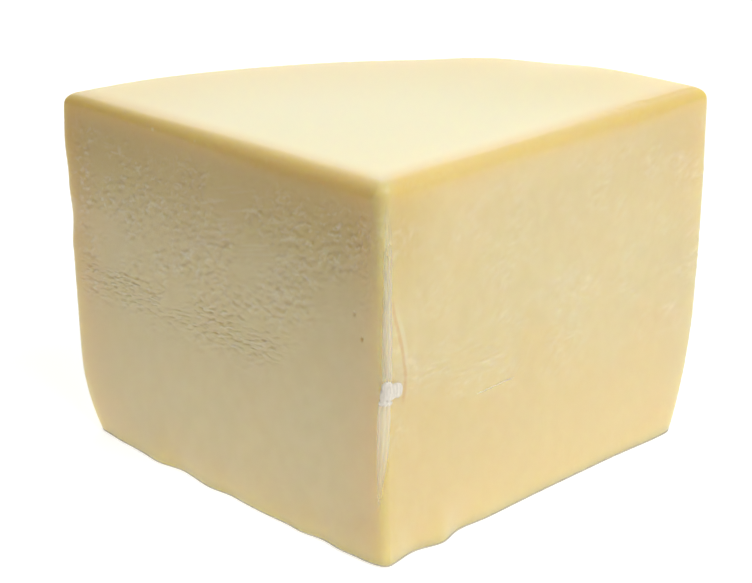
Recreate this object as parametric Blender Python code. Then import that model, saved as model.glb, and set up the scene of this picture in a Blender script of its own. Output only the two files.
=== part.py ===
"""An eighth of a wheel of pecorino romano, sealed in tight clear film, as one closed solid.

Metres, +Z up. The wedge stands on the wheel's flat end. Its two cut faces meet in the front edge, which
points to -Y. The rim of the wheel closes the back and rounds in to the base as a heel. The origin lies on
the base, under the middle of the bounding box.
"""
import math

import bmesh
import bpy
from mathutils import Vector, noise

NAME = "wrapped_wedge"

# The wheel and the cuts through it
WHEEL_RADIUS = 0.160
WEDGE_ANGLE = math.radians(90)
WEDGE_HEIGHT = 0.1257

# The heel, where the rim rounds in to the base: depth in, height and roundness at the two back corners
LEFT_HEEL = {"depth": 0.0100, "height": 0.0255, "power": 1.9}
RIGHT_HEEL = {"depth": 0.0134, "height": 0.098, "power": 3.4}

# Edge radii
TOP_EDGE_RADIUS = 0.0042
BASE_EDGE_RADIUS = 0.0012
BACK_EDGE_RADIUS = 0.0030
FRONT_EDGE_RADIUS = 0.0028
FRONT_CORNER_RADIUS = 0.0060
FRONT_CORNER_HEIGHT = 0.016

# How the hand-cut faces bow at the foot, and how far up that reaches
LEFT_FOOT_BOW = 0.0018
RIGHT_FOOT_BOW = -0.0009
FOOT_BOW_HEIGHT = 0.070

# Lumps and chips along the foot of each cut face: distance from the front edge, height outwards, half width
LEFT_FOOT_LUMPS = (
    (0.009, 0.0006, 0.0050),
    (0.019, 0.0010, 0.0050),
    (0.0297, -0.0007, 0.0040),
    (0.036, 0.0014, 0.0045),
    (0.054, 0.0004, 0.0080),
    (0.0744, -0.0009, 0.0050),
    (0.082, 0.0010, 0.0050),
    (0.101, -0.0015, 0.0065),
    (0.111, 0.0013, 0.0075),
    (0.145, -0.0010, 0.0045),
)
RIGHT_FOOT_LUMPS = (
    (0.014, -0.0015, 0.0065),
    (0.0248, 0.0022, 0.0038),
    (0.0370, -0.0014, 0.0055),
    (0.0900, 0.0002, 0.0200),
    (0.1360, 0.0010, 0.0160),
)
FOOT_LUMP_HEIGHT = 0.010

# Dents and swellings of the rim beside the left back edge: height above the base, depth outwards, half height
LEFT_RIM_LUMPS = (
    (0.107, 0.0010, 0.0090),
    (0.0925, 0.0005, 0.0035),
    (0.0790, -0.0010, 0.0032),
    (0.0735, 0.0004, 0.0040),
)
RIM_LUMP_REACH = math.radians(16)

# Swellings of the cut top: place from the wheel's axis, height, half width
TOP_SWELLINGS = (
    (0.060, 0.140, 0.0023, 0.042),
    (0.034, 0.158, 0.0008, 0.013),
    (0.062, 0.148, -0.0009, 0.010),
    (-0.050, 0.140, -0.0004, 0.035),
)
TOP_SWELLING_DEPTH = 0.030

# Slow waves of the surfaces
CUT_WAVE = {"height": 0.00030, "length": 0.034}
RIM_WAVE = {"height": 0.00065, "length": 0.040}
TOP_WAVE = {"height": 0.00020, "length": 0.045}
WAVE_EDGE_CALM = 0.012

# The pleat of film down the front edge, with the knot where it is gathered
PLEAT_TOP = 0.1185
KNOT_TOP = 0.0650
KNOT_BOTTOM = 0.0562
PLEAT_BOTTOM = 0.0275
PLEAT_HEIGHT = 0.0010
PLEAT_HALF_WIDTH = 0.0011
PLEAT_OFFSET = 0.0013
TAIL_HEIGHT = 0.0010
TAIL_HALF_WIDTH = 0.0019
TAIL_TIP_OFFSET = -0.0004
TAIL_TIP_SHARE = 0.2
KNOT_CENTRE = 0.0020
KNOT_HALF_WIDTH = 0.0036
KNOT_HEIGHT = 0.0018

# Mesh spacing
FRONT_STEPS = 8
BACK_EDGE_STEPS = 3
RIM_STEPS = 28
TOP_EDGE_STEPS = 4
BASE_EDGE_STEPS = 2
FACE_FIRST_STEP = 0.0011
FACE_STEP_GROWTH = 1.22
FACE_WIDEST_STEP = 0.0056
ROW_STEP = 0.0052
KNOT_ROW_STEP = 0.0018
TOP_RINGS = (0.16, 0.40, 0.66, 0.86)

STRAW = (0.86, 0.75, 0.47, 1.0)
STRAW_ROUGHNESS = 0.45
SHARP_ANGLE = math.radians(60)

HALF_ANGLE = WEDGE_ANGLE / 2
MIDDLE = math.pi / 2


def direction(angle):
    return Vector((math.cos(angle), math.sin(angle)))


LEFT_ALONG = direction(MIDDLE + HALF_ANGLE)
RIGHT_ALONG = direction(MIDDLE - HALF_ANGLE)
LEFT_OUT = direction(MIDDLE + HALF_ANGLE + math.pi / 2)
RIGHT_OUT = direction(MIDDLE - HALF_ANGLE - math.pi / 2)


def smooth(t):
    """0 up to t = 0 and 1 from t = 1, with a soft start and end."""
    t = min(max(t, 0.0), 1.0)
    return t * t * (3 - 2 * t)


def bell(distance, half_width):
    return math.exp(-((distance / half_width) ** 2))


def wave(x, y, z, form):
    return form["height"] * noise.noise(Vector((x, y, z)) / form["length"])


def heel_depth(heel, z):
    """How far the rim stands in from the wheel's radius at height z."""
    return heel["depth"] * max(1 - z / heel["height"], 0.0) ** heel["power"]


def face_shares():
    """The stations along a cut face, from 0 at the front edge to 1 at the rim, closest at the front."""
    length = WHEEL_RADIUS - BACK_EDGE_RADIUS
    stations = [0.0]
    step = FACE_FIRST_STEP
    while stations[-1] + step < length:
        stations.append(stations[-1] + step)
        step = min(step * FACE_STEP_GROWTH, FACE_WIDEST_STEP)
    return [s / stations[-1] for s in stations]


def fillet(centre, radius, start, end, steps):
    """Points and normals on an arc from one angle to the other, the first one left out."""
    arc = []
    for i in range(1, steps + 1):
        out = direction(start + (end - start) * i / steps)
        arc.append((centre + radius * out, out))
    return arc


def outline(z, inset, front_radius):
    """One ring seen from above, anticlockwise from the left end of the front edge's rounding.

    Each entry has the point, its outward direction, the surface that it lies on and its place there: the
    distance from the front edge on a cut face, or the angle round the wheel's axis on the rim.
    """
    left_radius = WHEEL_RADIUS - inset - heel_depth(LEFT_HEEL, z)
    right_radius = WHEEL_RADIUS - inset - heel_depth(RIGHT_HEEL, z)
    shift = inset / math.tan(HALF_ANGLE)
    start = shift + front_radius / math.tan(HALF_ANGLE)
    front_centre = Vector((0.0, (inset + front_radius) / math.sin(HALF_ANGLE)))

    def corner(along, out, radius):
        """The centre of a back edge's rounding, and its distance along the face."""
        depth = inset + BACK_EDGE_RADIUS
        distance = math.sqrt((radius - BACK_EDGE_RADIUS) ** 2 - depth**2)
        return distance * along - depth * out, distance

    left_centre, left_length = corner(LEFT_ALONG, LEFT_OUT, left_radius)
    right_centre, right_length = corner(RIGHT_ALONG, RIGHT_OUT, right_radius)
    rim_start = math.atan2(right_centre.y, right_centre.x)
    rim_end = math.atan2(left_centre.y, left_centre.x)
    ring = []

    front_start = MIDDLE + HALF_ANGLE + math.pi / 2
    front_end = MIDDLE - HALF_ANGLE + 3 * math.pi / 2
    ring.append((front_centre + front_radius * LEFT_OUT, LEFT_OUT, "front", 0.0))
    for point, out in fillet(front_centre, front_radius, front_start, front_end, FRONT_STEPS):
        ring.append((point, out, "front", 0.0))

    shares = face_shares()
    for share in shares[1:]:
        along = start + (right_length - start) * share
        ring.append((along * RIGHT_ALONG - inset * RIGHT_OUT, RIGHT_OUT, "right", along))

    face_angle = MIDDLE - HALF_ANGLE - math.pi / 2
    for point, out in fillet(right_centre, BACK_EDGE_RADIUS, face_angle, rim_start, BACK_EDGE_STEPS):
        ring.append((point, out, "rim", rim_start))

    for i in range(1, RIM_STEPS + 1):
        share = i / RIM_STEPS
        angle = rim_start + (rim_end - rim_start) * share
        radius = right_radius + (left_radius - right_radius) * share
        ring.append((radius * direction(angle), direction(angle), "rim", angle))

    face_angle = MIDDLE + HALF_ANGLE + math.pi / 2
    for point, out in fillet(left_centre, BACK_EDGE_RADIUS, rim_end, face_angle, BACK_EDGE_STEPS):
        ring.append((point, out, "rim", rim_end))

    for share in reversed(shares[1:-1]):
        along = start + (left_length - start) * share
        ring.append((along * LEFT_ALONG - inset * LEFT_OUT, LEFT_OUT, "left", along))
    return ring


def pleat_relief(x, z):
    """How far the film's pleat and its knot stand out of the front edge, x to the right of it."""
    knot_middle = (KNOT_TOP + KNOT_BOTTOM) / 2
    knot_half_height = (KNOT_TOP - KNOT_BOTTOM) / 2
    knot = KNOT_HEIGHT * bell(x - KNOT_CENTRE, KNOT_HALF_WIDTH) * bell(z - knot_middle, knot_half_height)
    if z > knot_middle:
        rise = smooth((PLEAT_TOP - z) / (PLEAT_TOP - KNOT_TOP))
        ridge = PLEAT_HEIGHT * rise * bell(x - PLEAT_OFFSET, PLEAT_HALF_WIDTH)
    else:
        share = min(max((z - PLEAT_BOTTOM) / (KNOT_BOTTOM - PLEAT_BOTTOM), 0.0), 1.0)
        width = TAIL_HALF_WIDTH * max(share, TAIL_TIP_SHARE)
        ridge = TAIL_HEIGHT * share * bell(x - TAIL_TIP_OFFSET * (1 - share), width)
    return max(knot, ridge)


def cut_relief(along, z, bow, lumps, side):
    """How far a cut face stands out of its plane."""
    length = WHEEL_RADIUS
    edges = smooth(along / WAVE_EDGE_CALM) * smooth((length - along) / WAVE_EDGE_CALM)
    offset = edges * wave(along, z, side, CUT_WAVE)
    foot = max(1 - z / FOOT_BOW_HEIGHT, 0.0) ** 2
    offset += bow * foot * math.sin(math.pi * min(along / length, 1.0))
    for place, height, half_width in lumps:
        offset += height * bell(along - place, half_width) * bell(z, FOOT_LUMP_HEIGHT)
    return offset


def rim_relief(point, angle, z):
    """How far the rim stands out of the turned shape."""
    offset = wave(point.x, point.y, z, RIM_WAVE)
    near = smooth(1 - (MIDDLE + HALF_ANGLE - angle) / RIM_LUMP_REACH)
    for place, height, half_height in LEFT_RIM_LUMPS:
        offset += height * bell(z - place, half_height) * near
    return offset


def relief(point, surface, place, z):
    if surface == "rim":
        return rim_relief(point, place, z)
    offset = pleat_relief(point.x, z)
    if surface == "left":
        offset += cut_relief(place, z, LEFT_FOOT_BOW, LEFT_FOOT_LUMPS, -1.0)
    if surface == "right":
        offset += cut_relief(place, z, RIGHT_FOOT_BOW, RIGHT_FOOT_LUMPS, 1.0)
    return offset


def top_relief(x, y):
    """How far the cut top stands above its plane."""
    height = wave(x, y, WEDGE_HEIGHT, TOP_WAVE)
    for swell_x, swell_y, swell, half_width in TOP_SWELLINGS:
        height += swell * bell(math.hypot(x - swell_x, y - swell_y), half_width)
    return height


def row_heights():
    """The heights of the rings between the base's rounding and the top's, closest across the knot."""
    low = BASE_EDGE_RADIUS
    high = WEDGE_HEIGHT - TOP_EDGE_RADIUS
    stops = (low, KNOT_BOTTOM - KNOT_ROW_STEP, KNOT_TOP + KNOT_ROW_STEP, high)
    rows = []
    for bottom, top, step in zip(stops, stops[1:], (ROW_STEP, KNOT_ROW_STEP, ROW_STEP)):
        count = max(round((top - bottom) / step), 1)
        rows += [bottom + (top - bottom) * i / count for i in range(count)]
    return rows + [high]


def profile():
    """Height and inset of each ring, from the base's flat to the top's flat."""
    rings = []
    for i in range(BASE_EDGE_STEPS):
        turn = math.pi / 2 * i / BASE_EDGE_STEPS
        rings.append((BASE_EDGE_RADIUS * (1 - math.cos(turn)), BASE_EDGE_RADIUS * (1 - math.sin(turn))))
    rings += [(z, 0.0) for z in row_heights()]
    for i in range(1, TOP_EDGE_STEPS + 1):
        turn = math.pi / 2 * i / TOP_EDGE_STEPS
        z = WEDGE_HEIGHT - TOP_EDGE_RADIUS * (1 - math.sin(turn))
        rings.append((z, TOP_EDGE_RADIUS * (1 - math.cos(turn))))
    return rings


def ring_points(z, inset):
    near_top = smooth(1 - (WEDGE_HEIGHT - z) / FRONT_CORNER_HEIGHT)
    front_radius = FRONT_EDGE_RADIUS + (FRONT_CORNER_RADIUS - FRONT_EDGE_RADIUS) * near_top - inset / 2
    front_radius = max(front_radius, FRONT_EDGE_RADIUS)
    lift = smooth(1 - (WEDGE_HEIGHT - z) / TOP_SWELLING_DEPTH)
    points = []
    for point, out, surface, place in outline(z, inset, front_radius):
        moved = point + relief(point, surface, place, z) * out
        points.append(Vector((moved.x, moved.y, z + lift * top_relief(moved.x, moved.y))))
    return points


def wedge_rings():
    """All rings from the base to the innermost one on the top."""
    rings = [ring_points(z, inset) for z, inset in profile()]
    rim = rings[-1]
    middle = sum(rim, Vector()) / len(rim)
    for share in TOP_RINGS:
        ring = []
        for p in rim:
            flat = p.lerp(middle, share)
            ring.append(Vector((flat.x, flat.y, WEDGE_HEIGHT + top_relief(flat.x, flat.y))))
        rings.append(ring)
    return rings, Vector((middle.x, middle.y, WEDGE_HEIGHT + top_relief(middle.x, middle.y)))


def base_centre(rings):
    """The middle of the bounding box, on the base."""
    xs = [p.x for ring in rings for p in ring]
    ys = [p.y for ring in rings for p in ring]
    return Vector(((min(xs) + max(xs)) / 2, (min(ys) + max(ys)) / 2, 0.0))


def wedge_mesh():
    rings, crown = wedge_rings()
    origin = base_centre(rings)
    bm = bmesh.new()
    loops = [[bm.verts.new(p - origin) for p in ring] for ring in rings]
    for lower, upper in zip(loops, loops[1:]):
        for i in range(len(lower)):
            j = (i + 1) % len(lower)
            bm.faces.new((lower[i], lower[j], upper[j], upper[i]))
    bm.faces.new(list(reversed(loops[0])))
    tip = bm.verts.new(crown - origin)
    for i in range(len(loops[-1])):
        j = (i + 1) % len(loops[-1])
        bm.faces.new((loops[-1][i], loops[-1][j], tip))
    mesh = bpy.data.meshes.new(NAME)
    bm.to_mesh(mesh)
    bm.free()
    mesh.shade_smooth()
    mesh.set_sharp_from_angle(angle=SHARP_ANGLE)
    return mesh


def straw_material():
    material = bpy.data.materials.new("pecorino_in_film")
    material.use_nodes = True
    shader = material.node_tree.nodes["Principled BSDF"]
    shader.inputs["Base Color"].default_value = STRAW
    shader.inputs["Roughness"].default_value = STRAW_ROUGHNESS
    shader.inputs["Metallic"].default_value = 0.0
    material.diffuse_color = STRAW
    return material


def main():
    for old in list(bpy.data.objects):
        bpy.data.objects.remove(old, do_unlink=True)
    mesh = wedge_mesh()
    mesh.materials.append(straw_material())
    wedge = bpy.data.objects.new(NAME, mesh)
    bpy.context.scene.collection.objects.link(wedge)


main()
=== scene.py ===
"""Looks of an eighth of a wheel of pecorino romano, sealed in tight clear film.

Metres, +Z up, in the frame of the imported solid. The front edge, where the two cut faces meet, points to -Y.
A place on the wedge is given from the wheel's axis, which runs up the front edge: x to the right of the
edge as seen from the front, or the distance along a cut face, and the height z.
"""
import math

import bmesh
import bpy
from mathutils import Matrix, Vector, noise
from mathutils.bvhtree import BVHTree


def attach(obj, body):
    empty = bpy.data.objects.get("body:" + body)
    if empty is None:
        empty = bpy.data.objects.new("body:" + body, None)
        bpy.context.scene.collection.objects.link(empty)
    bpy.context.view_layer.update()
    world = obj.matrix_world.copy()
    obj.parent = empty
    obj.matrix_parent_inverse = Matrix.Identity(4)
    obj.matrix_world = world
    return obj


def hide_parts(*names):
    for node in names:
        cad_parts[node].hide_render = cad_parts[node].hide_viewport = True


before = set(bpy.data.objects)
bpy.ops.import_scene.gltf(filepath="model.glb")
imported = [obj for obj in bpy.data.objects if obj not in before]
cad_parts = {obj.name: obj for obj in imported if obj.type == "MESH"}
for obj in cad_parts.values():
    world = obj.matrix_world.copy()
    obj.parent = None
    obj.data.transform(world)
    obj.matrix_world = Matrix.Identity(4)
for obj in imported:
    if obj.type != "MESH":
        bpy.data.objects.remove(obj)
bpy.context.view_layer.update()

NODE = "wrapped_wedge"

# The wedge, as the frame's solid has it
WHEEL_AXIS = Vector((0.00036, -0.07995, 0.0))
WEDGE_HEIGHT = 0.1257
FRONT_EDGE_RADIUS = 0.0028
FRONT_CORNER_RADIUS = 0.0060
FRONT_CORNER_HEIGHT = 0.016

# The top edges' rounding as the film draws it: along a cut face, and the radius there
LEFT_TOP_ROUND = (
    (0.000, 0.0055),
    (0.018, 0.0062),
    (0.050, 0.0066),
    (0.080, 0.0054),
    (0.115, 0.0046),
    (0.160, 0.0042),
)
RIGHT_TOP_ROUND = ((0.000, 0.0050), (0.030, 0.0052), (0.130, 0.0050), (0.160, 0.0042))

# The solid's mesh is loose triangles, some of them on its flat base
MERGE_DISTANCE = 1e-6
BASE_NORMAL = -0.999
BASE_HEIGHT = 1e-5
JOIN_ANGLE = math.radians(40)
SMOOTH_LEVELS = 2

# The cheese lies this far inside its film
FILM_GAP = 0.00022

# Where the film stands off the front edge as a pleat, and the cheese behind it is plain
PLEAT_REACH = (0.0085, 0.0110)
PLEAT_FOOT = (0.010, 0.017)
PLEAT_HEAD = (0.1185, 0.1220)

# The film's own pleat and knot keep this share of their height, under the strands and the crumpled patch
FILM_PLEAT_SHARE = 0.50
PLEAT_RISE = (0.028, 0.050)

# The gathered film down the front edge: height, and where it starts and ends to the right of the edge
PLEAT = (
    (0.1195, 0.0010, 0.0018),
    (0.1127, 0.0006, 0.0028),
    (0.1034, 0.0005, 0.0029),
    (0.0940, 0.0004, 0.0029),
    (0.0861, 0.0001, 0.0027),
    (0.0780, -0.0002, 0.0028),
    (0.0610, -0.0004, 0.0027),
)
TAIL = (
    (0.0600, -0.0012, 0.0024),
    (0.0555, -0.0017, 0.0022),
    (0.0485, -0.0020, 0.0019),
    (0.0404, -0.0022, 0.0013),
    (0.0330, -0.0023, 0.0000),
    (0.0275, -0.0022, -0.0008),
    (0.0190, -0.0020, -0.0014),
)

# The strands' borders as shares of the width, how much of it they fill, and how far they stand out as a
# share of their thickness; their ends thin to a share of it over some steps
PLEAT_SPLITS = (0.0, 0.20, 0.34, 0.62, 0.76, 1.0)
PLEAT_FULLNESS = 0.74
PLEAT_LIFT = -0.2
TAIL_SPLITS = (0.0, 0.22, 0.60, 1.0)
TAIL_FULLNESS = 0.80
TAIL_LIFT = -0.5
STRAND_STEP = 0.0012
STRAND_END = 0.15
STRAND_END_STEPS = 6

# How far the film's strands and creases wander from their lines, and over what length
PLEAT_WANDER = 0.00018
TAIL_WANDER = 0.00008
STREAK_WANDER = 0.00002
WANDER_LENGTH = 0.006
STRAND_SIDES = 8

# The knot's lobes: place right of the edge, height, half width, half height and how far it stands out.
# Its spread is from left to right and from low to high, and its hole a place, a radius and a depth.
KNOT_LOBES = (
    (0.0012, 0.0622, 0.0020, 0.0020, 0.00050),
    (0.0032, 0.0612, 0.0022, 0.0018, 0.00045),
    (0.0046, 0.0598, 0.0014, 0.0026, 0.00040),
    (0.0026, 0.0594, 0.0020, 0.0020, 0.00025),
    (0.0006, 0.0590, 0.0019, 0.0034, 0.00050),
    (-0.0004, 0.0568, 0.0013, 0.0011, 0.00035),
    (0.0016, 0.0566, 0.0013, 0.0010, 0.00030),
)
KNOT_SPREAD = (-0.0026, 0.0066, 0.0544, 0.0656)
KNOT_STEP = 0.00018
KNOT_CRUMPLE = 0.00012
KNOT_CRUMPLE_LENGTH = 0.0015
KNOT_SINK = 0.00010
KNOT_HOLE = (0.0008, 0.0577, 0.00045, 0.00045)

# Soft creases of the film up the right face, painted in the paste as a warm line of light and shade and a
# pale lit band:
# half width, low and high end, and how far along the face they start, bend and end
WARM_CREASE_SHADING = (0.0010, 0.0530, 0.0935, 0.0086, 0.0096, 0.0040)
PALE_CREASE_HIGHLIGHT = (0.0011, 0.0640, 0.0900, 0.0110, 0.0100, 0.0058)

# Streaks of the film on the right face: along it and up it; their thickness, and how deep they lie in it
RIGHT_STREAKS = (((0.0415, 0.0472), (0.0500, 0.0475), (0.0595, 0.0477)),)
RIGHT_STREAK_THICK = 0.00022
RIGHT_STREAK_LIFT = -0.50

# The same on the rim: degrees to the right of its middle as seen from the front, and the height
RIM_STREAKS = (
    ((-33, 0.1120), (-25, 0.1045), (-16, 0.1015), (-9, 0.1030)),
    ((7, 0.1150), (9, 0.1000), (10.5, 0.0830), (10, 0.0660)),
    ((21, 0.0610), (26, 0.0530), (31, 0.0505), (37, 0.0530)),
    ((-21, 0.0500), (-14, 0.0420), (-7, 0.0390)),
    ((-2, 0.1160), (-3.5, 0.1080), (-4, 0.0990)),
)
RIM_STREAK_THICK = 0.00026
RIM_STREAK_LIFT = -0.40

# How thick a streak's ends are, as a share of its middle, and how often its corners are cut
STREAK_END = 0.1
CORNER_CUTS = 3

# The film's lip along the foot: height and thickness
FOOT_LIP_HEIGHT = 0.0006
FOOT_LIP_THICK = 0.00028

# How far off the film the search for its surface starts: off a cut face, off the foot, and from the axis
FACE_SEARCH = 0.05
FOOT_SEARCH = 0.01
RIM_SEARCH = 0.2

# The cut that is left rough gets a finer mesh: along the left face and up it
ROUGH_ALONG = (0.002, 0.158)
ROUGH_UP = (0.040, 0.117)

# The camera, fitted to the wedge's outline: target and distance from the wheel's axis, and its turns
CAMERA_TARGET = Vector((-0.00187, 0.0, 0.09354))
CAMERA_DISTANCE = 0.55641
CAMERA_PITCH = 0.36002
CAMERA_YAW = -0.01695
CAMERA_ROLL = -0.01083
CAMERA_LENS = 90.0
CAMERA_SENSOR = 36.0

# The cheese's marks and the film's painted glint lines, and how steeply those of the cuts sink away from the
# front edge
MARKS = ("pits", "ridges", "ripples", "hollows", "glint_lines")
MARK_TILT = math.radians(14)

# Lengths and heights of the marks on the cuts, and of the patches that they come in
MARK_LENGTH = 0.0029
MARK_HEIGHT = 0.0014
RIPPLE_SIZE = (0.0040, 0.0013)
# The pale lines are painted glints of the film
GLINT_LINE_SIZE = (0.022, 0.0013)
LEFT_PATCH = (0.026, 0.016)
RIGHT_PATCH = (0.020, 0.014)

# Depths of the left cut's pits and the rim's hollows, heights of the left cut's ridges and right's ripples
PIT_DEPTH = 0.00029
HOLLOW_DEPTH = 0.00036
RIDGE_HEIGHT = 0.00025
RIPPLE_HEIGHT = 0.00025

# Where marks fade in: on a cut face, by the place along its outward direction, and on the rim, by how far
# it lies behind both cut faces
FACE_BORDER = (-0.0045, -0.0012)
RIM_BORDER = (0.0015, 0.007)

# Where the colours of one cut face fade in, by the place along its outward direction
FACE_COLOR_BORDER = (-0.030, -0.004)

# Two deeper pits and some pale spots on the left face, those at the top edge painted glints of the film:
# along it and up it
LEFT_PITS = ((0.0124, 0.0830), (0.0092, 0.0757))
LEFT_PIT_STRENGTH = 2.0
PIT_RADIUS = 0.00085
PALE_AND_GLINT_SPOTS = ((0.1110, 0.1236), (0.1082, 0.1222), (0.0865, 0.1226), (0.1386, 0.0912), (0.1372, 0.0895))
PALE_SPOT_RADIUS = 0.0011
SPOT_CORE = 0.3

# Linear colours of the paste and its marks, several of them painted light and shade, and how far light
# travels in it
PASTE_WARM = (0.855, 0.685, 0.30, 1.0)
PASTE_GREENISH = (0.832, 0.688, 0.31, 1.0)
PASTE_PALE = (0.90, 0.75, 0.40, 1.0)
PASTE_RIM = (0.85, 0.645, 0.22, 1.0)
# Pale top: the paste's colour with a painted sheen of the overhead light in it
PASTE_TOP_WITH_SHEEN = (1.0, 0.825, 0.46, 1.0)
# Golden colour that paints the glow of light shining through the rounded edges; also laid thinly low on the
# right face
PASTE_EDGE_GLOW = (0.89, 0.62, 0.20, 1.0)
# The top's colour towards the rim, with less painted sheen in it
PASTE_TOP_RIM_WITH_SHEEN = (0.93, 0.75, 0.33, 1.0)
# Painted shade high on the left face, near the rim and at the left silhouette
PASTE_SHADED = (0.74, 0.55, 0.17, 1.0)
# Painted shade at the right silhouette and on the upper front edge
PASTE_SHADE_GREY = (0.74, 0.66, 0.36, 1.0)
# Painted shade along the foot
PASTE_FOOT_SHADE = (0.50, 0.42, 0.24, 1.0)
# Painted shade in the pits and hollows
PIT_SHADE_COLOR = (0.66, 0.50, 0.23, 1.0)
# Pale: paler curd in ridges and specks, and painted highlights on ridges, ripples, film glints and a crease
PALE_AND_HIGHLIGHT_COLOR = (0.93, 0.83, 0.60, 1.0)
# Painted warm light and shade of a crease in the film
CREASE_SHADING_COLOR = (0.78, 0.50, 0.19, 1.0)
PASTE_SCATTER = (1.0, 0.80, 0.16)
PASTE_SCATTER_SCALE = 0.013
PASTE_ROUGHNESS = 0.45
PASTE_COAT_ROUGHNESS = 0.28

# The film: how much it covers from the front, and further and how steeply where it is seen edge on
FILM_COLOR = (0.55, 0.55, 0.47, 1.0)
FILM_COVER = 0.03
FILM_EDGE_COVER = 1.1
FILM_EDGE_POWER = 6.0
FILM_ROUGHNESS = 0.22

# The gathered film: heights between which its cover fades to a share of it, above and below, and where
# its grain grows; each of its finishes has a cover, a share of scattered light and a glow, which is painted
# light
GATHER_COLOR = (0.93, 0.92, 0.88, 1.0)
KNOT_COLOR = (0.90, 0.86, 0.79, 1.0)
# Dark grey: painted shade of the film's edge along the foot
FOOT_SHADE_COLOR = (0.52, 0.47, 0.35, 1.0)
GATHER_GLOW = (0.10, 0.093, 0.078, 1.0)
GATHER_SCATTER = (1.0, 1.0, 1.0)
GATHER_SCATTER_SCALE = 0.004
GATHER_ROUGHNESS = 0.35
GATHER_HEAD = (0.122, 0.088)
GATHER_FOOT = (0.010, 0.046)
GATHER_END_COVER = 0.15
GATHER_GRAIN_RISE = (0.050, 0.062)
GATHER_GRAIN = (1300.0, 1300.0, 120.0)
PLEAT_FINISH = (0.31, 0.6, 1.2)
STREAK_FINISH = (0.24, 0.3, 2.0)
TAIL_FINISH = (0.34, 0.6, 2.0)
KNOT_FINISH = (0.85, 0.2, 1.0)
FOOT_COVER = 0.36

# Soft lights, all turned to one place: name, place, side and energy
LIGHTS = (
    ("overhead", (0.0, 0.0, 1.10), 1.2, 3.6),
    ("key", (0.55, -0.55, 0.85), 0.8, 7.7),
)
LIGHT_TARGET = Vector((0.0, 0.0, 0.05))

# The floor's glows: centre, radius and strength; the glow behind the wedge, and the backdrop
FLOOR_SIZE = 6.0
FLOOR_COLOR = (0.92, 0.92, 0.92, 1.0)
FLOOR_GLOWS = (((0.0, 0.0, 0.0), 0.16, 0.35), ((-0.09, -0.09, 0.0), 0.10, 0.36))
FLOOR_BACK_RAMP = (-0.18, 0.32)
FLOOR_BACK_GLOW = 0.70
BACKDROP_STRENGTH = 1.92

SQRT_HALF = math.sqrt(0.5)
LEFT_ALONG = Vector((-SQRT_HALF, SQRT_HALF, 0.0))
RIGHT_ALONG = Vector((SQRT_HALF, SQRT_HALF, 0.0))
LEFT_OUT = Vector((-SQRT_HALF, -SQRT_HALF, 0.0))
RIGHT_OUT = Vector((SQRT_HALF, -SQRT_HALF, 0.0))
UP = Vector((0.0, 0.0, 1.0))


def operator(operation, reflected=False):
    """A method that adds a Math node on its own value and another one."""

    def apply(self, other):
        pair = (other, self) if reflected else (self, other)
        return self.nodes.add("ShaderNodeMath", {"operation": operation}, dict(enumerate(pair)))

    return apply


class Value:
    """One node's output, used in expressions."""

    def __init__(self, nodes, socket):
        self.nodes = nodes
        self.socket = socket

    __add__ = operator("ADD")
    __radd__ = operator("ADD", True)
    __sub__ = operator("SUBTRACT")
    __rsub__ = operator("SUBTRACT", True)
    __mul__ = operator("MULTIPLY")
    __rmul__ = operator("MULTIPLY", True)
    __truediv__ = operator("DIVIDE")
    __rtruediv__ = operator("DIVIDE", True)
    __pow__ = operator("POWER")
    __rpow__ = operator("POWER", True)
    least = operator("MINIMUM")
    most = operator("MAXIMUM")

    def other(self, name):
        """Another output of the same node."""
        return Value(self.nodes, self.socket.node.outputs[name])

    def ramp(self, start, end):
        """0 at start and 1 at end, with a soft start and end; start may be the higher one."""
        sockets = {"Value": self, "From Min": start, "From Max": end}
        return self.nodes.add("ShaderNodeMapRange", {"interpolation_type": "SMOOTHSTEP"}, sockets)

    def along(self, direction):
        """This vector's length along a direction."""
        return self.nodes.vector_math("DOT_PRODUCT", self, direction, "Value")

    def on_face(self, out):
        """1 on the cut face that looks this way and 0 on its rounded edges, at this place."""
        return self.along(out).ramp(*FACE_BORDER)


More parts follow.
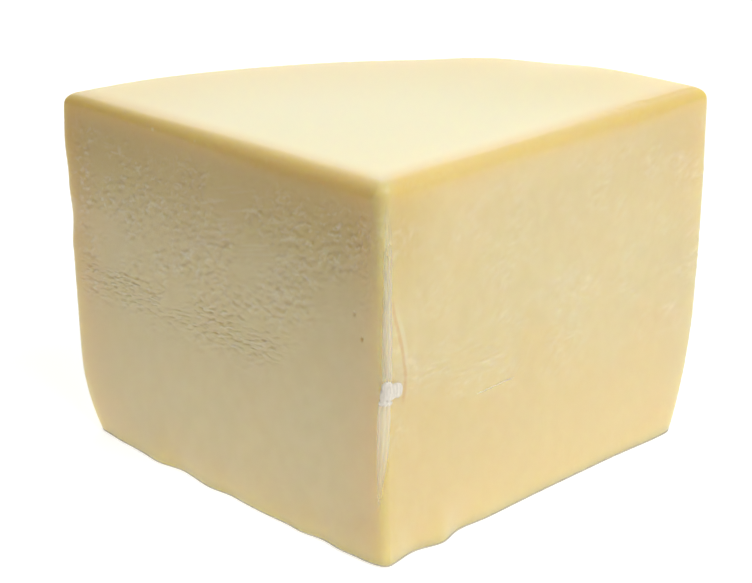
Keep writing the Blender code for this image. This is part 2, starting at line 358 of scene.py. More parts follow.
class Nodes:
    """Builds one node tree."""

    def __init__(self, tree):
        self.tree = tree

    def add(self, kind, settings=None, sockets=None, output=0):
        node = self.tree.nodes.new(kind)
        for name, value in (settings or {}).items():
            setattr(node, name, value)
        self.feed(node, sockets or {})
        return Value(self, node.outputs[output]) if len(node.outputs) else node

    def feed(self, node, sockets):
        """Links a value to each named input of a node, or sets the input to a number or colour."""
        for name, value in sockets.items():
            if isinstance(value, Value):
                self.tree.links.new(value.socket, node.inputs[name])
            else:
                node.inputs[name].default_value = value

    def noise(self, vector, scale=1.0, detail=2.0, distortion=0.0):
        sockets = {"Vector": vector, "Scale": scale, "Detail": detail, "Distortion": distortion}
        return self.add("ShaderNodeTexNoise", None, sockets)

    def mix(self, factor, first, second):
        settings = {"data_type": "RGBA"}
        return self.add("ShaderNodeMix", settings, {0: factor, 6: first, 7: second}, 2)

    def vector(self, x, y, z):
        return self.add("ShaderNodeCombineXYZ", None, {0: x, 1: y, 2: z})

    def vector_math(self, operation, first, second, output=0):
        return self.add("ShaderNodeVectorMath", {"operation": operation}, {0: first, 1: second}, output)

    def scaled(self, vector, share):
        sockets = {0: vector, "Scale": share}
        return self.add("ShaderNodeVectorMath", {"operation": "SCALE"}, sockets)

    def place(self):
        """The object's own coordinates."""
        return self.add("ShaderNodeTexCoord", None, None, "Object")

    def stored(self, name):
        """A number that the geometry carries."""
        return self.add("ShaderNodeAttribute", {"attribute_name": name}, None, "Fac")

    def reach(self, place):
        """How far a place is from the wheel's axis."""
        flat = self.vector_math("MULTIPLY", place, (1.0, 1.0, 0.0))
        return self.add("ShaderNodeVectorMath", {"operation": "LENGTH"}, {0: flat}, "Value")

    def from_axis(self, position):
        """A position seen from the foot of the wheel's axis."""
        return self.vector_math("SUBTRACT", position, WHEEL_AXIS)


def smooth(t):
    t = min(max(t, 0.0), 1.0)
    return t * t * (3 - 2 * t)


def ramp(value, start, end):
    """0 at start and 1 at end, with a soft start and end; start may be the higher one."""
    return smooth((value - start) / (end - start))


def link(name, mesh):
    obj = bpy.data.objects.new(name, mesh)
    bpy.context.scene.collection.objects.link(obj)
    return obj


def bake(obj):
    """Turns the object and its modifiers into a plain mesh."""
    graph = bpy.context.evaluated_depsgraph_get()
    mesh = bpy.data.meshes.new_from_object(
        obj.evaluated_get(graph), preserve_all_data_layers=True, depsgraph=graph
    )
    mesh.name = obj.name
    obj.modifiers.clear()
    obj.data = mesh
    return obj


def new_mesh(name, bm):
    """Turns the bmesh into a mesh and frees it."""
    mesh = bpy.data.meshes.new(name)
    bm.to_mesh(mesh)
    bm.free()
    return mesh


def new_material(name):
    """A material with its nodes and its shader."""
    material = bpy.data.materials.new(name)
    material.use_nodes = True
    nodes = Nodes(material.node_tree)
    return material, nodes, nodes.tree.nodes["Principled BSDF"]


def geometry_tree(name, sizes):
    """A Geometry Nodes tree with a named input for each size; returns its nodes and its input node."""
    tree = bpy.data.node_groups.new(name, "GeometryNodeTree")
    tree.interface.new_socket("Geometry", in_out="INPUT", socket_type="NodeSocketGeometry")
    for label, size in sizes.items():
        socket = tree.interface.new_socket(label, in_out="INPUT", socket_type="NodeSocketFloat")
        socket.default_value = size
    tree.interface.new_socket("Geometry", in_out="OUTPUT", socket_type="NodeSocketGeometry")
    nodes = Nodes(tree)
    return nodes, nodes.add("NodeGroupInput")


def finish_tree(nodes, geometry, material):
    """Ends a tree in Realize Instances and Set Material."""
    real = nodes.add("GeometryNodeRealizeInstances", None, {"Geometry": geometry})
    shown = nodes.add("GeometryNodeSetMaterial", None, {"Geometry": real, "Material": material})
    nodes.add("NodeGroupOutput", None, {"Geometry": shown})


def grow(obj, nodes, **sizes):
    """Runs a Geometry Nodes tree on the object with these sizes and keeps the result."""
    modifier = obj.modifiers.new(nodes.tree.name, "NODES")
    modifier.node_group = nodes.tree
    for item in nodes.tree.interface.items_tree:
        if item.in_out == "INPUT" and item.name in sizes:
            modifier[item.identifier] = sizes[item.name]
    return bake(obj)


def front_surface(x, z):
    """The plain front edge and the cut faces beside it: a point there and its outward direction."""
    near_top = smooth(1 - (WEDGE_HEIGHT - z) / FRONT_CORNER_HEIGHT)
    radius = FRONT_EDGE_RADIUS + (FRONT_CORNER_RADIUS - FRONT_EDGE_RADIUS) * near_top
    if abs(x) >= radius * SQRT_HALF:
        return Vector((x, abs(x), z)), RIGHT_OUT if x > 0 else LEFT_OUT
    depth = math.sqrt(radius**2 - x**2)
    return Vector((x, radius / SQRT_HALF - depth, z)), Vector((x, -depth, 0.0)) / radius


def round_top_edge(bm, along, out, radii):
    """Rounds the top edge of one cut face further, where its radius is larger than the solid's."""
    for v in bm.verts:
        place = v.co - WHEEL_AXIS
        reach = place.dot(along)
        for (start, radius), (end, next_radius) in zip(radii, radii[1:]):
            if reach <= end:
                break
        share = min(max((reach - start) / (end - start), 0.0), 1.0)
        radius += (next_radius - radius) * share
        inward = radius + place.dot(out)
        above = place.z - (WEDGE_HEIGHT - radius)
        distance = math.hypot(inward, above)
        if inward > 0 and above > 0 and distance > radius:
            v.co += (out * inward + UP * above) * (radius / distance - 1)


def smooth_wedge():
    """The frame's solid as a smooth surface in quads, open at its flat base."""
    bm = bmesh.new()
    bm.from_mesh(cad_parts[NODE].data)
    bmesh.ops.remove_doubles(bm, verts=bm.verts, dist=MERGE_DISTANCE)
    faces = [f for f in bm.faces if f.normal.z < BASE_NORMAL and f.calc_center_median().z < BASE_HEIGHT]
    bmesh.ops.delete(bm, geom=faces, context="FACES_ONLY")
    bmesh.ops.join_triangles(
        bm, faces=bm.faces, angle_face_threshold=JOIN_ANGLE, angle_shape_threshold=JOIN_ANGLE
    )
    obj = link("smooth_wedge", new_mesh("smooth_wedge", bm))
    obj.data.materials.clear()
    modifier = obj.modifiers.new("smooth", "SUBSURF")
    modifier.levels = SMOOTH_LEVELS
    modifier.render_levels = SMOOTH_LEVELS
    bake(obj)
    bm = bmesh.new()
    bm.from_mesh(obj.data)
    round_top_edge(bm, LEFT_ALONG, LEFT_OUT, LEFT_TOP_ROUND)
    round_top_edge(bm, RIGHT_ALONG, RIGHT_OUT, RIGHT_TOP_ROUND)
    bm.to_mesh(obj.data)
    bm.free()
    return obj


def flatten_pleat(bm, kept):
    """Flattens the pleat and knot on the front edge to this share of their height, and wholly low down."""
    for v in bm.verts:
        place = v.co - WHEEL_AXIS
        if abs(place.x) > PLEAT_REACH[1] or place.y > PLEAT_REACH[1] + FRONT_CORNER_RADIUS:
            continue
        weight = ramp(abs(place.x), PLEAT_REACH[1], PLEAT_REACH[0])
        weight *= ramp(place.z, *PLEAT_FOOT) * ramp(place.z, PLEAT_HEAD[1], PLEAT_HEAD[0])
        plain, out = front_surface(place.x, place.z)
        v.co -= out * (place - plain).dot(out) * weight * (1 - kept * ramp(place.z, *PLEAT_RISE))


def refine_rough_cut(bm):
    """Splits each face of the rough stretch of the left cut in four."""
    edges = set()
    for f in bm.faces:
        place = f.calc_center_median() - WHEEL_AXIS
        along = place.dot(LEFT_ALONG)
        if f.normal.dot(LEFT_OUT) < SQRT_HALF:
            continue
        if ROUGH_ALONG[0] < along < ROUGH_ALONG[1] and ROUGH_UP[0] < place.z < ROUGH_UP[1]:
            edges.update(f.edges)
    bmesh.ops.subdivide_edges(bm, edges=list(edges), cuts=1, use_grid_fill=True)


def close_base(bm):
    """Fills the opening at the foot with one flat face."""
    edges = [e for e in bm.edges if e.is_boundary]
    for v in {v for e in edges for v in e.verts}:
        v.co.z = FILM_GAP
    bmesh.ops.holes_fill(bm, edges=edges, sides=0)


def cheese_mesh():
    wedge = smooth_wedge()
    bm = bmesh.new()
    bm.from_mesh(wedge.data)
    bpy.data.objects.remove(wedge)
    flatten_pleat(bm, 0.0)
    refine_rough_cut(bm)
    bm.normal_update()
    for v in bm.verts:
        v.co -= v.normal * FILM_GAP
    close_base(bm)
    mesh = new_mesh("cheese", bm)
    mesh.shade_smooth()
    return mesh


def stretched(nodes, place, direction, length, height, shift=0.0):
    """A pattern's coordinates on a cut face, in marks this long and high; shift gives another pattern."""
    lengthwise = direction * math.cos(MARK_TILT) - UP * math.sin(MARK_TILT)
    across = direction * math.sin(MARK_TILT) + UP * math.cos(MARK_TILT)
    return nodes.vector(place.along(lengthwise) / length, place.along(across) / height, shift)


def spots(nodes, place, centres, radius):
    """Round spots on the left face, from 0 to 1, which is reached at their core."""
    total = 0.0
    for along, height in centres:
        centre = LEFT_ALONG * along + UP * height
        away = nodes.vector_math("DISTANCE", place, centre, "Value")
        total = total + away.ramp(radius, radius * SPOT_CORE)
    return total


def worms(nodes, grain, width):
    """Short curved lines: where a noise crosses its middle, broken up by another noise."""
    line = nodes.noise(grain, detail=1.0, distortion=0.6) - 0.5
    gaps = nodes.noise(grain, scale=0.9, detail=1.0).ramp(0.46, 0.60)
    return (line * line).ramp(width, 0.0) * gaps


def left_cut(nodes, place, length, height):
    """The pits and the pale ridges of the rough left cut, in marks of this size, each from 0 to 1."""
    up = place.along(UP)
    along = place.along(LEFT_ALONG)
    low = along.ramp(0.064, 0.014) * 0.034
    zone = (up - low).ramp(0.040, 0.064) * up.ramp(0.121, 0.109) * place.on_face(LEFT_OUT)
    patches = nodes.noise(stretched(nodes, place, LEFT_ALONG, *LEFT_PATCH))
    rough = zone * along.ramp(0.000, 0.010) * along.ramp(0.160, 0.148) * patches.ramp(0.30, 0.56)
    pits = nodes.noise(stretched(nodes, place, LEFT_ALONG, length, height), detail=1.5, distortion=0.7)
    grain = stretched(nodes, place, LEFT_ALONG, length * 1.2, height * 1.1, shift=7.3)
    ridges = worms(nodes, grain, 0.0075)
    deep = spots(nodes, place, LEFT_PITS, PIT_RADIUS)
    return (pits.ramp(0.46, 0.70) * rough).most(deep * LEFT_PIT_STRENGTH), ridges * rough


def right_cut(nodes, place):
    """The faint ripples of the right cut, from 0 to 1."""
    up = place.along(UP)
    zone = place.on_face(RIGHT_OUT) * up.ramp(0.030, 0.050) * up.ramp(0.120, 0.112)
    patches = nodes.noise(stretched(nodes, place, RIGHT_ALONG, *RIGHT_PATCH, shift=3.1))
    grain = stretched(nodes, place, RIGHT_ALONG, *RIPPLE_SIZE, shift=5.7)
    ripples = nodes.noise(grain, detail=1.5, distortion=0.6)
    return ripples.ramp(0.42, 0.66) * zone * patches.ramp(0.42, 0.60)


def glint_lines(nodes, place):
    """Long faint pale lines across the left cut, painted glints of the film over it, from 0 to 1."""
    along = place.along(LEFT_ALONG)
    up = place.along(UP)
    zone = along.ramp(0.025, 0.045) * along.ramp(0.105, 0.080)
    zone = zone * up.ramp(0.084, 0.094) * up.ramp(0.114, 0.107)
    lines = nodes.noise(stretched(nodes, place, LEFT_ALONG, *GLINT_LINE_SIZE, shift=9.1), detail=1.0)
    return lines.ramp(0.54, 0.68) * zone * place.on_face(LEFT_OUT)


def crease(nodes, place, line):
    """A soft line up the right face, from 0 to 1, that bends a quarter of the way up."""
    half_width, low, high, start, middle, end = line
    up = place.along(UP)
    bend = low * 0.75 + high * 0.25
    centre = start + up.ramp(low, bend) * (middle - start) + up.ramp(bend, high) * (end - middle)
    away = place.along(RIGHT_ALONG) - centre
    zone = up.ramp(low, low + 0.004) * up.ramp(high, high - 0.010)
    return (away * away).ramp(half_width**2, 0.0) * zone * place.on_face(RIGHT_OUT)


def behind_cuts(place):
    """How far a place lies behind the nearer of the two cut faces."""
    return place.along(LEFT_OUT).most(place.along(RIGHT_OUT)) * -1.0


def rim_hollows(nodes, place):
    """The shallow hollows of the wheel's rim, from 0 to 1."""
    up = place.along(UP)
    zone = nodes.reach(place).ramp(0.148, 0.156) * behind_cuts(place).ramp(*RIM_BORDER)
    zone = zone * up.ramp(0.1225, 0.114) * up.ramp(0.003, 0.016)
    patches = nodes.noise(place, scale=42.0)
    grain = nodes.vector_math("MULTIPLY", place, (1.0, 1.0, 1.7))
    hollows = nodes.noise(grain, scale=230.0, distortion=0.5)
    return hollows.ramp(0.46, 0.70) * zone * patches.ramp(0.34, 0.58)


def cheese_relief(material):
    """The marks in geometry; how strong each one is stays on the mesh, and the paste's colour reads it."""
    sizes = {
        "Mark length": MARK_LENGTH,
        "Mark height": MARK_HEIGHT,
        "Pit depth": PIT_DEPTH,
        "Hollow depth": HOLLOW_DEPTH,
        "Ridge height": RIDGE_HEIGHT,
        "Ripple height": RIPPLE_HEIGHT,
    }
    nodes, given = geometry_tree("cheese_relief", sizes)
    place = nodes.from_axis(nodes.add("GeometryNodeInputPosition"))
    pits, ridges = left_cut(nodes, place, given.other("Mark length"), given.other("Mark height"))
    ripples = right_cut(nodes, place)
    hollows = rim_hollows(nodes, place)
    marks = (pits, ridges, ripples, hollows, glint_lines(nodes, place))
    rise = ridges * given.other("Ridge height") - pits * given.other("Pit depth")
    rise = rise + ripples * given.other("Ripple height") - hollows * given.other("Hollow depth")
    marked = given
    for name, mark in zip(MARKS, marks):
        sockets = {"Geometry": marked, "Name": name, "Value": mark}
        marked = nodes.add("GeometryNodeStoreNamedAttribute", {"data_type": "FLOAT"}, sockets)
    normal = nodes.add("GeometryNodeInputNormal")
    sockets = {"Geometry": marked, "Offset": nodes.scaled(normal, rise)}
    moved = nodes.add("GeometryNodeSetPosition", None, sockets)
    finish_tree(nodes, moved, material)
    return nodes


def paste(nodes, place):
    """The paste's colour: straw in soft clouds, deeper at the rim, with painted light and shade: a golden
    glow at the top and front edges, shade high on the faces, at the silhouettes and along the foot, and a
    painted sheen that makes the top pale.
    """
    tone = nodes.noise(place, scale=30.0, detail=4.0)
    mottle = nodes.noise(place, scale=170.0)
    up = place.along(UP)
    radius = nodes.reach(place)
    leftward = place.along(LEFT_OUT).ramp(*FACE_COLOR_BORDER)
    rightward = place.along(RIGHT_OUT).ramp(*FACE_COLOR_BORDER)
    aside = place.along((1.0, 0.0, 0.0))
    front = aside.ramp(-0.0065, -0.0010) * aside.ramp(0.0050, 0.0010)
    high = up.ramp(0.082, 0.116) * (leftward * 0.55 + radius.ramp(0.070, 0.155) * 0.45).least(0.9)
    border = up + (tone - 0.5) * 0.09 + radius * 0.06
    far_right = rightward * radius.ramp(0.128, 0.156) * up.ramp(0.105, 0.060)
    far_left = leftward * radius.ramp(0.138, 0.158) * up.ramp(0.045, 0.080)
    zones = (
        (mottle.ramp(0.30, 0.70) * 0.40, PASTE_PALE),
        (radius.ramp(0.118, 0.160) * 0.55, PASTE_RIM),
        # Painted shade high on the left face and near the rim
        (high, PASTE_SHADED),
        # Painted glow of light shining through the top edges
        (up.ramp(0.116, 0.1240) * 0.62, PASTE_EDGE_GLOW),
        # Golden low on the right face
        (rightward * border.ramp(0.058, 0.048) * 0.30, PASTE_EDGE_GLOW),
        # Painted shade at the right silhouette
        (far_right * 0.6, PASTE_SHADE_GREY),
        # Painted shade at the left silhouette
        (far_left * 0.6, PASTE_SHADED),
        # Painted glow of light shining through the lower front edge from its lit side
        (front * up.ramp(0.125, 0.070) * 0.32, PASTE_EDGE_GLOW),
        # Painted shade that dims the glow through the upper front edge
        (front * up.ramp(0.075, 0.110) * 0.45, PASTE_SHADE_GREY),
        # Painted shade along the foot
        (up.ramp(0.0045, 0.0) * 0.55, PASTE_FOOT_SHADE),
    )
    straw = nodes.mix(tone.ramp(0.35, 0.65), PASTE_GREENISH, PASTE_WARM)
    for share, color in zones:
        straw = nodes.mix(share, straw, color)
    # The top's colour holds a painted sheen of the overhead light
    top = nodes.mix(radius.ramp(0.085, 0.155), PASTE_TOP_WITH_SHEEN, PASTE_TOP_RIM_WITH_SHEEN)
    return nodes.mix(up.ramp(0.120, 0.1245) * behind_cuts(place).ramp(0.003, 0.013), straw, top)


def cheese_material():
    """The paste with its marks: painted shade in the pits and hollows, pale ridges partly painted highlights,
    painted glint lines, pale spots partly painted glints, a crease painted as warm light and shade.
    """
    material, nodes, shader = new_material("pecorino_cut")
    place = nodes.from_axis(nodes.place())
    # Colours here are largely painted light and shade on the marks
    pits, ridges, ripples, hollows, glint_marks = (nodes.stored(name) for name in MARKS)
    fine = nodes.noise(place, scale=900.0)
    marks = (
        # Painted shade in the pits and hollows
        (pits * 0.32 + hollows * 0.40, PIT_SHADE_COLOR),
        # Pale ridges, partly paler curd and partly painted highlight, and painted highlights on the ripples
        ((ridges * 0.52 + ripples * 0.34).least(1.0), PALE_AND_HIGHLIGHT_COLOR),
        # Painted glints of the film in lines
        (glint_marks * 0.35, PALE_AND_HIGHLIGHT_COLOR),
        # Painted warm light and shade of a crease in the film, and its painted lit side
        (crease(nodes, place, WARM_CREASE_SHADING) * 0.55, CREASE_SHADING_COLOR),
        (crease(nodes, place, PALE_CREASE_HIGHLIGHT) * 0.40, PALE_AND_HIGHLIGHT_COLOR),
        # Pale spots, those at the top edge painted glints of the film
        (spots(nodes, place, PALE_AND_GLINT_SPOTS, PALE_SPOT_RADIUS) * 0.6, PALE_AND_HIGHLIGHT_COLOR),
        (fine.ramp(0.30, 0.75) * 0.10, PALE_AND_HIGHLIGHT_COLOR),
    )
    color = paste(nodes, place)
    for share, tint in marks:
        color = nodes.mix(share, color, tint)
    up = place.along(UP)
    leftward = place.along(LEFT_OUT).ramp(*FACE_COLOR_BORDER)
    dull = (up.ramp(0.075, 0.112) * leftward).most(up.ramp(0.118, 0.1245)) * 0.75
    sockets = {
        "Base Color": color,
        "Coat Weight": 1.0 - dull,
        "Coat Roughness": PASTE_COAT_ROUGHNESS,
        "Roughness": PASTE_ROUGHNESS,
        "Subsurface Weight": 1.0,
        "Subsurface Radius": PASTE_SCATTER,
        "Subsurface Scale": PASTE_SCATTER_SCALE,
    }
    nodes.feed(shader, sockets)
    return material


def film_material():
    """Clear film: hardly there from the front, greyish where it is seen along its surface."""
    material, nodes, shader = new_material("clear_film")
    edge_on = nodes.add("ShaderNodeLayerWeight", None, {"Blend": 0.5}, "Facing")
    side = nodes.place().along(UP).ramp(0.1245, 0.1180) * 0.9 + 0.1
    alpha = FILM_COVER + FILM_EDGE_COVER * side * edge_on**FILM_EDGE_POWER
    nodes.feed(shader, {"Base Color": FILM_COLOR, "Alpha": alpha, "Roughness": FILM_ROUGHNESS})
    return material


def make_cheese():
    cheese = link("cheese", cheese_mesh())
    grow(cheese, cheese_relief(cheese_material()))
    cheese.data.shade_smooth()
    return cheese


def make_film():
    film = smooth_wedge()
    film.name = "film"
    bm = bmesh.new()
    bm.from_mesh(film.data)
    edges = [e for e in bm.edges if e.is_boundary]
    bmesh.ops.holes_fill(bm, edges=edges, sides=0)
    flatten_pleat(bm, FILM_PLEAT_SHARE)
    bm.to_mesh(film.data)
    bm.free()
    film.data.name = "film"
    film.data.shade_smooth()
    film.data.materials.append(film_material())
    return film


def between(table, height):
    """The numbers of a table that goes down, at this height."""
    for above, below in zip(table, table[1:]):
        if height >= below[0]:
            break
    share = min(max((above[0] - height) / (above[0] - below[0]), 0.0), 1.0)
    return [a + (b - a) * share for a, b in zip(above[1:], below[1:])]


def rounded(line):
    """The same line with its corners cut off, so that it bends softly."""
    for _ in range(CORNER_CUTS):
        softer = [line[0]]
        for (x1, z1), (x2, z2) in zip(line, line[1:]):
            softer += [(x1 + (x2 - x1) * share, z1 + (z2 - z1) * share) for share in (0.25, 0.75)]
        line = softer + [line[-1]]
    return line


class Surface:
    """The film's surface, on which the gathered film, the creases and the streaks lie."""

    def __init__(self, film):
        places = [v.co for v in film.data.vertices]
        self.tree = BVHTree.FromPolygons(places, [face.vertices for face in film.data.polygons])

    def cast(self, start, direction, lift):
        point, normal, _, _ = self.tree.ray_cast(start, direction)
        return point + normal * lift

    def front(self, x, z, lift):
        """The place this far to the right of the front edge, as it is seen from the front."""
        return self.cast(WHEEL_AXIS + Vector((x, -FACE_SEARCH, z)), Vector((0.0, 1.0, 0.0)), lift)

    def right(self, place, lift):
        """The place this far along the right face and this high."""
        start = WHEEL_AXIS + RIGHT_ALONG * place[0] + UP * place[1] + RIGHT_OUT * FACE_SEARCH
        return self.cast(start, -RIGHT_OUT, lift)

    def rim(self, place, lift):
        """The place this many degrees right of the rim's middle and this high."""
        turn = math.radians(place[0])
        out = Vector((math.sin(turn), math.cos(turn), 0.0))
        return self.cast(WHEEL_AXIS + out * RIM_SEARCH + UP * place[1], -out, lift)


def line_mesh(name, lines):
    """Lines, each of places with their thickness, as one mesh of edges."""
    places = []
    edges = []
    for line in lines:
        edges += [(i, i + 1) for i in range(len(places), len(places) + len(line) - 1)]
        places += line
    mesh = bpy.data.meshes.new(name)
    mesh.from_pydata([place for place, _ in places], edges, [])
    thick = mesh.attributes.new("thick", "FLOAT", "POINT")
    thick.data.foreach_set("value", [size for _, size in places])
    return mesh


def strand_tree(name, material):
    """Turns lines into rounded strands that wander a little."""
    nodes, given = geometry_tree(name, {"Wander": PLEAT_WANDER, "Wander length": WANDER_LENGTH})
    place = nodes.add("GeometryNodeInputPosition")
    sockets = {"Vector": place, "Scale": 1.0 / given.other("Wander length"), "Detail": 1.0}
    drift = nodes.add("ShaderNodeTexNoise", None, sockets, "Color")
    drift = nodes.vector_math("SUBTRACT", drift, (0.5, 0.5, 0.5))
    offset = nodes.scaled(drift, given.other("Wander") * 2.0)
    moved = nodes.add("GeometryNodeSetPosition", None, {"Geometry": given, "Offset": offset})
    curve = nodes.add("GeometryNodeMeshToCurve", None, {"Mesh": moved})
    thick = nodes.add("GeometryNodeInputNamedAttribute", {"data_type": "FLOAT"}, {"Name": "thick"})
    sockets = {"Resolution": STRAND_SIDES, "Radius": 1.0}
    ring = nodes.add("GeometryNodeCurvePrimitiveCircle", None, sockets)
    sockets = {"Curve": curve, "Profile Curve": ring, "Scale": thick, "Fill Caps": True}
    finish_tree(nodes, nodes.add("GeometryNodeCurveToMesh", None, sockets), material)
    return nodes


def make_strands(name, lines, material, wander):
    strands = link(name, line_mesh(name, lines))
    grow(strands, strand_tree(name, material), Wander=wander)
    strands.data.shade_smooth()
    return strands


def gathered(surface, table, splits, fullness, lift):
    """Strands side by side between a table's two borders, each from one split of the width to the next."""
    lines = []
    high = table[0][0]
    low = table[-1][0]
    steps = round((high - low) / STRAND_STEP)
    for start, end in zip(splits, splits[1:]):
        line = []
        for i in range(steps + 1):
            z = high + (low - high) * i / steps
            left, right = between(table, z)
            thick = (right - left) * (end - start) * fullness
            body = smooth(i / STRAND_END_STEPS) * smooth((steps - i) / STRAND_END_STEPS)
            thick *= STRAND_END + (1 - STRAND_END) * body
            x = left + (right - left) * (start + end) / 2
            line.append((surface.front(x, z, thick * lift), thick))
        lines.append(line)
    return lines


def creases(place_on, lines, thick, lift):
    """Thin creases, thinning towards their ends; lift is a share of their thickness."""
    strands = []
    for line in lines:
        places = rounded(line)
        last = len(places) - 1
        strand = []
        for i, place in enumerate(places):
            body = smooth(4 * i / last) * smooth(4 * (last - i) / last)
            size = thick * (STREAK_END + (1 - STREAK_END) * body)
            strand.append((place_on(place, lift * size), size))
        strands.append(strand)
    return strands


def foot_lip(film, surface):
    """The line of film along the foot, all the way round."""
    base = max(film.data.polygons, key=lambda face: len(face.vertices))
    foot = [film.data.vertices[i].co for i in base.vertices][::2]
    line = []
    for i in range(len(foot) + 1):
        place = foot[i % len(foot)]
        out = (foot[(i + 1) % len(foot)] - foot[i - 1]).cross(base.normal).normalized()
        start = Vector((place.x, place.y, FOOT_LIP_HEIGHT)) + out * FOOT_SEARCH
        line.append((surface.cast(start, -out, 0.0), FOOT_LIP_THICK))
    return [line]


def knot_rise(x, z):
    """How far the knot's crumpled film stands out of the film under it; None outside its lobes."""
    dome = 0.0
    height = 0.0
    for lobe_x, lobe_z, half_width, half_height, lobe_rise in KNOT_LOBES:
        inside = 1 - ((x - lobe_x) / half_width) ** 2 - ((z - lobe_z) / half_height) ** 2
        if inside > 0:
            dome = max(dome, smooth(2 * inside))
            height = max(height, lobe_rise * smooth(1.5 * inside))
    if dome == 0.0:
        return None
    crumple = 1 - 3 * abs(noise.noise(Vector((x * 1.3, 0.0, z)) / KNOT_CRUMPLE_LENGTH))
    hole = math.exp(-(((x - KNOT_HOLE[0]) ** 2 + (z - KNOT_HOLE[1]) ** 2) / KNOT_HOLE[2] ** 2))
    return height + dome * (KNOT_CRUMPLE * crumple - KNOT_HOLE[3] * hole) - KNOT_SINK


def make_knot(surface):
    """The crumpled film of the knot: a raised patch of the film's surface, as a closed shell."""
    left, right, low, high = KNOT_SPREAD
    bm = bmesh.new()
    grid = {}
    for i in range(round((right - left) / KNOT_STEP) + 1):
        for j in range(round((high - low) / KNOT_STEP) + 1):
            rise = knot_rise(left + KNOT_STEP * i, low + KNOT_STEP * j)
            if rise is not None:
                place = surface.front(left + KNOT_STEP * i, low + KNOT_STEP * j, rise)
                grid[i, j] = bm.verts.new(place)
    for i, j in grid:
        corners = [grid.get(corner) for corner in ((i, j), (i + 1, j), (i + 1, j + 1), (i, j + 1))]
        if None not in corners:
            bm.faces.new(corners)
    loose = [v for v in bm.verts if not v.link_faces]
    bmesh.ops.delete(bm, geom=loose, context="VERTS")
    bmesh.ops.solidify(bm, geom=bm.faces[:], thickness=KNOT_SINK * 2)
    bmesh.ops.recalc_face_normals(bm, faces=bm.faces[:])
    mesh = new_mesh("film_knot", bm)
    mesh.shade_smooth()
    mesh.materials.append(gathered_material("knotted_film", KNOT_COLOR, *KNOT_FINISH))
    return link("film_knot", mesh)


def gathered_material(name, color, cover, scatter, glow):
    """Film that lies in several layers, so that it looks whitish, and a painted glow brightens it; it fades
    out towards its ends.
    """
    material, nodes, shader = new_material(name)
    place = nodes.place()
    grain = nodes.noise(nodes.vector_math("MULTIPLY", place, GATHER_GRAIN), detail=1.0)
    up = place.along(UP)
    ends = up.ramp(*GATHER_HEAD) * up.ramp(*GATHER_FOOT) * (1 - GATHER_END_COVER) + GATHER_END_COVER
    share = up.ramp(*GATHER_GRAIN_RISE) * 0.17 + 0.05
    sockets = {
        "Base Color": color,
        "Alpha": ends * (1.0 - grain.ramp(0.70, 0.30) * share) * cover,
        "Emission Color": GATHER_GLOW,
        "Emission Strength": glow,
        "Roughness": GATHER_ROUGHNESS,
        "Subsurface Weight": scatter,
        "Subsurface Radius": GATHER_SCATTER,
        "Subsurface Scale": GATHER_SCATTER_SCALE,
    }
    nodes.feed(shader, sockets)
    return material


def foot_material():
    """The film's lip along the foot, dark grey as painted shade of the film's edge."""
    material, nodes, shader = new_material("foot_film")
    sockets = {"Base Color": FOOT_SHADE_COLOR, "Alpha": FOOT_COVER, "Roughness": GATHER_ROUGHNESS}
    nodes.feed(shader, sockets)
    return material


def add_film_details(film):
    """The pleat, its knot and its tail on the front edge, the streaks and the lip along the foot."""
    surface = Surface(film)
    gather = gathered_material("gathered_film", GATHER_COLOR, *PLEAT_FINISH)
    streak = gathered_material("streaked_film", GATHER_COLOR, *STREAK_FINISH)
    tail = gathered_material("film_tail", GATHER_COLOR, *TAIL_FINISH)
    strands = gathered(surface, PLEAT, PLEAT_SPLITS, PLEAT_FULLNESS, PLEAT_LIFT)
    tail_strands = gathered(surface, TAIL, TAIL_SPLITS, TAIL_FULLNESS, TAIL_LIFT)
    streaks = creases(surface.right, RIGHT_STREAKS, RIGHT_STREAK_THICK, RIGHT_STREAK_LIFT)
    streaks += creases(surface.rim, RIM_STREAKS, RIM_STREAK_THICK, RIM_STREAK_LIFT)
    return [
        make_strands("film_pleat", strands, gather, PLEAT_WANDER),
        make_strands("film_tail", tail_strands, tail, TAIL_WANDER),
        make_strands("film_streaks", streaks, streak, STREAK_WANDER),
        make_strands("film_foot", foot_lip(film, surface), foot_material(), 0.0),
        make_knot(surface),
    ]


def make_floor():
    bm = bmesh.new()
    bmesh.ops.create_grid(bm, x_segments=1, y_segments=1, size=FLOOR_SIZE / 2)
    mesh = new_mesh("floor", bm)
    mesh.materials.append(floor_material())
    link("floor", mesh)


def floor_material():
    """A pale floor, lit from below round the wedge's foot and behind it, as a light table is."""
    material, nodes, shader = new_material("pale_floor")
    place = nodes.place()
    glow = 0.0
    for centre, radius, strength in FLOOR_GLOWS:
        away = nodes.vector_math("DISTANCE", place, centre, "Value")
        glow = glow + strength * math.e ** ((away / radius) ** 2.0 * -1.0)
    glow = glow + FLOOR_BACK_GLOW * place.along((0.0, 1.0, 0.0)).ramp(*FLOOR_BACK_RAMP)
    sockets = {
        "Base Color": FLOOR_COLOR,
        "Emission Color": nodes.add("ShaderNodeCombineColor", None, {0: glow, 1: glow, 2: glow}),
        "Emission Strength": 1.0,
        "Roughness": 1.0,
        "Specular IOR Level": 0.0,
    }
    nodes.feed(shader, sockets)
    return material


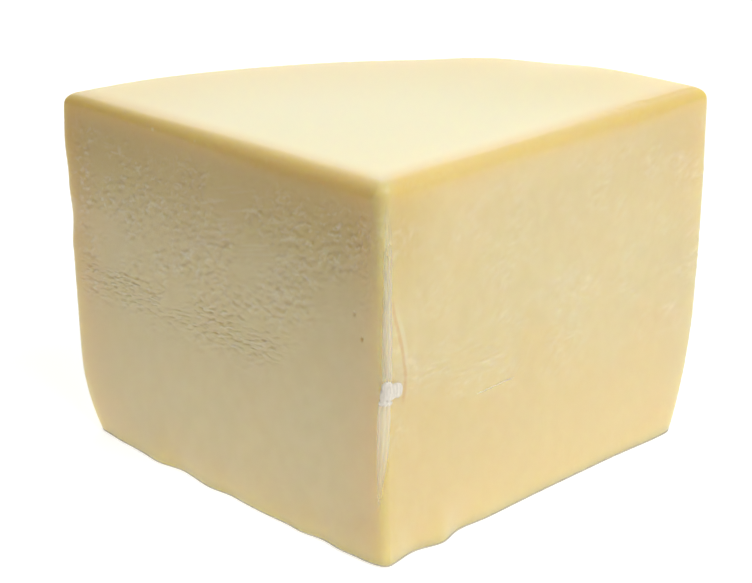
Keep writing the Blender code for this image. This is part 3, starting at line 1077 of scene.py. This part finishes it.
def make_camera():
    forward = Vector(
        (
            math.sin(CAMERA_YAW) * math.cos(CAMERA_PITCH),
            math.cos(CAMERA_YAW) * math.cos(CAMERA_PITCH),
            -math.sin(CAMERA_PITCH),
        )
    )
    right = Vector((math.cos(CAMERA_YAW), -math.sin(CAMERA_YAW), 0.0))
    up = right.cross(forward)
    turned_right = right * math.cos(CAMERA_ROLL) + up * math.sin(CAMERA_ROLL)
    turned_up = up * math.cos(CAMERA_ROLL) - right * math.sin(CAMERA_ROLL)
    camera = bpy.data.objects.new("camera", bpy.data.cameras.new("camera"))
    bpy.context.scene.collection.objects.link(camera)
    camera.data.lens = CAMERA_LENS
    camera.data.sensor_width = CAMERA_SENSOR
    place = Matrix((turned_right, turned_up, -forward)).transposed().to_4x4()
    place.translation = WHEEL_AXIS + CAMERA_TARGET - forward * CAMERA_DISTANCE
    camera.matrix_world = place
    bpy.context.scene.camera = camera


def make_lights():
    for name, place, size, energy in LIGHTS:
        light = bpy.data.lights.new(name, "AREA")
        light.shape = "RECTANGLE"
        light.size = size
        light.size_y = size
        light.energy = energy
        obj = bpy.data.objects.new(name, light)
        bpy.context.scene.collection.objects.link(obj)
        obj.location = place
        obj.rotation_mode = "QUATERNION"
        obj.rotation_quaternion = (LIGHT_TARGET - Vector(place)).to_track_quat("-Z", "Y")


def make_world():
    """A studio with a white backdrop behind the wedge."""
    world = bpy.data.worlds.new("studio")
    bpy.context.scene.world = world
    world.use_nodes = True
    nodes = Nodes(world.node_tree)
    direction = nodes.add("ShaderNodeTexCoord", None, None, "Generated")
    backdrop = direction.along((0.0, 1.0, 0.0)).most(0.0) ** 2.0 * BACKDROP_STRENGTH
    sockets = {"Color": (1.0, 1.0, 1.0, 1.0), "Strength": backdrop}
    nodes.feed(nodes.tree.nodes["Background"], sockets)


make_camera()
make_floor()
make_lights()
make_world()
bpy.context.scene.view_settings.view_transform = "Standard"

cheese = make_cheese()
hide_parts(NODE)
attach(cheese, "root")

film = make_film()
for piece in [film] + add_film_details(film):
    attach(piece, "root")
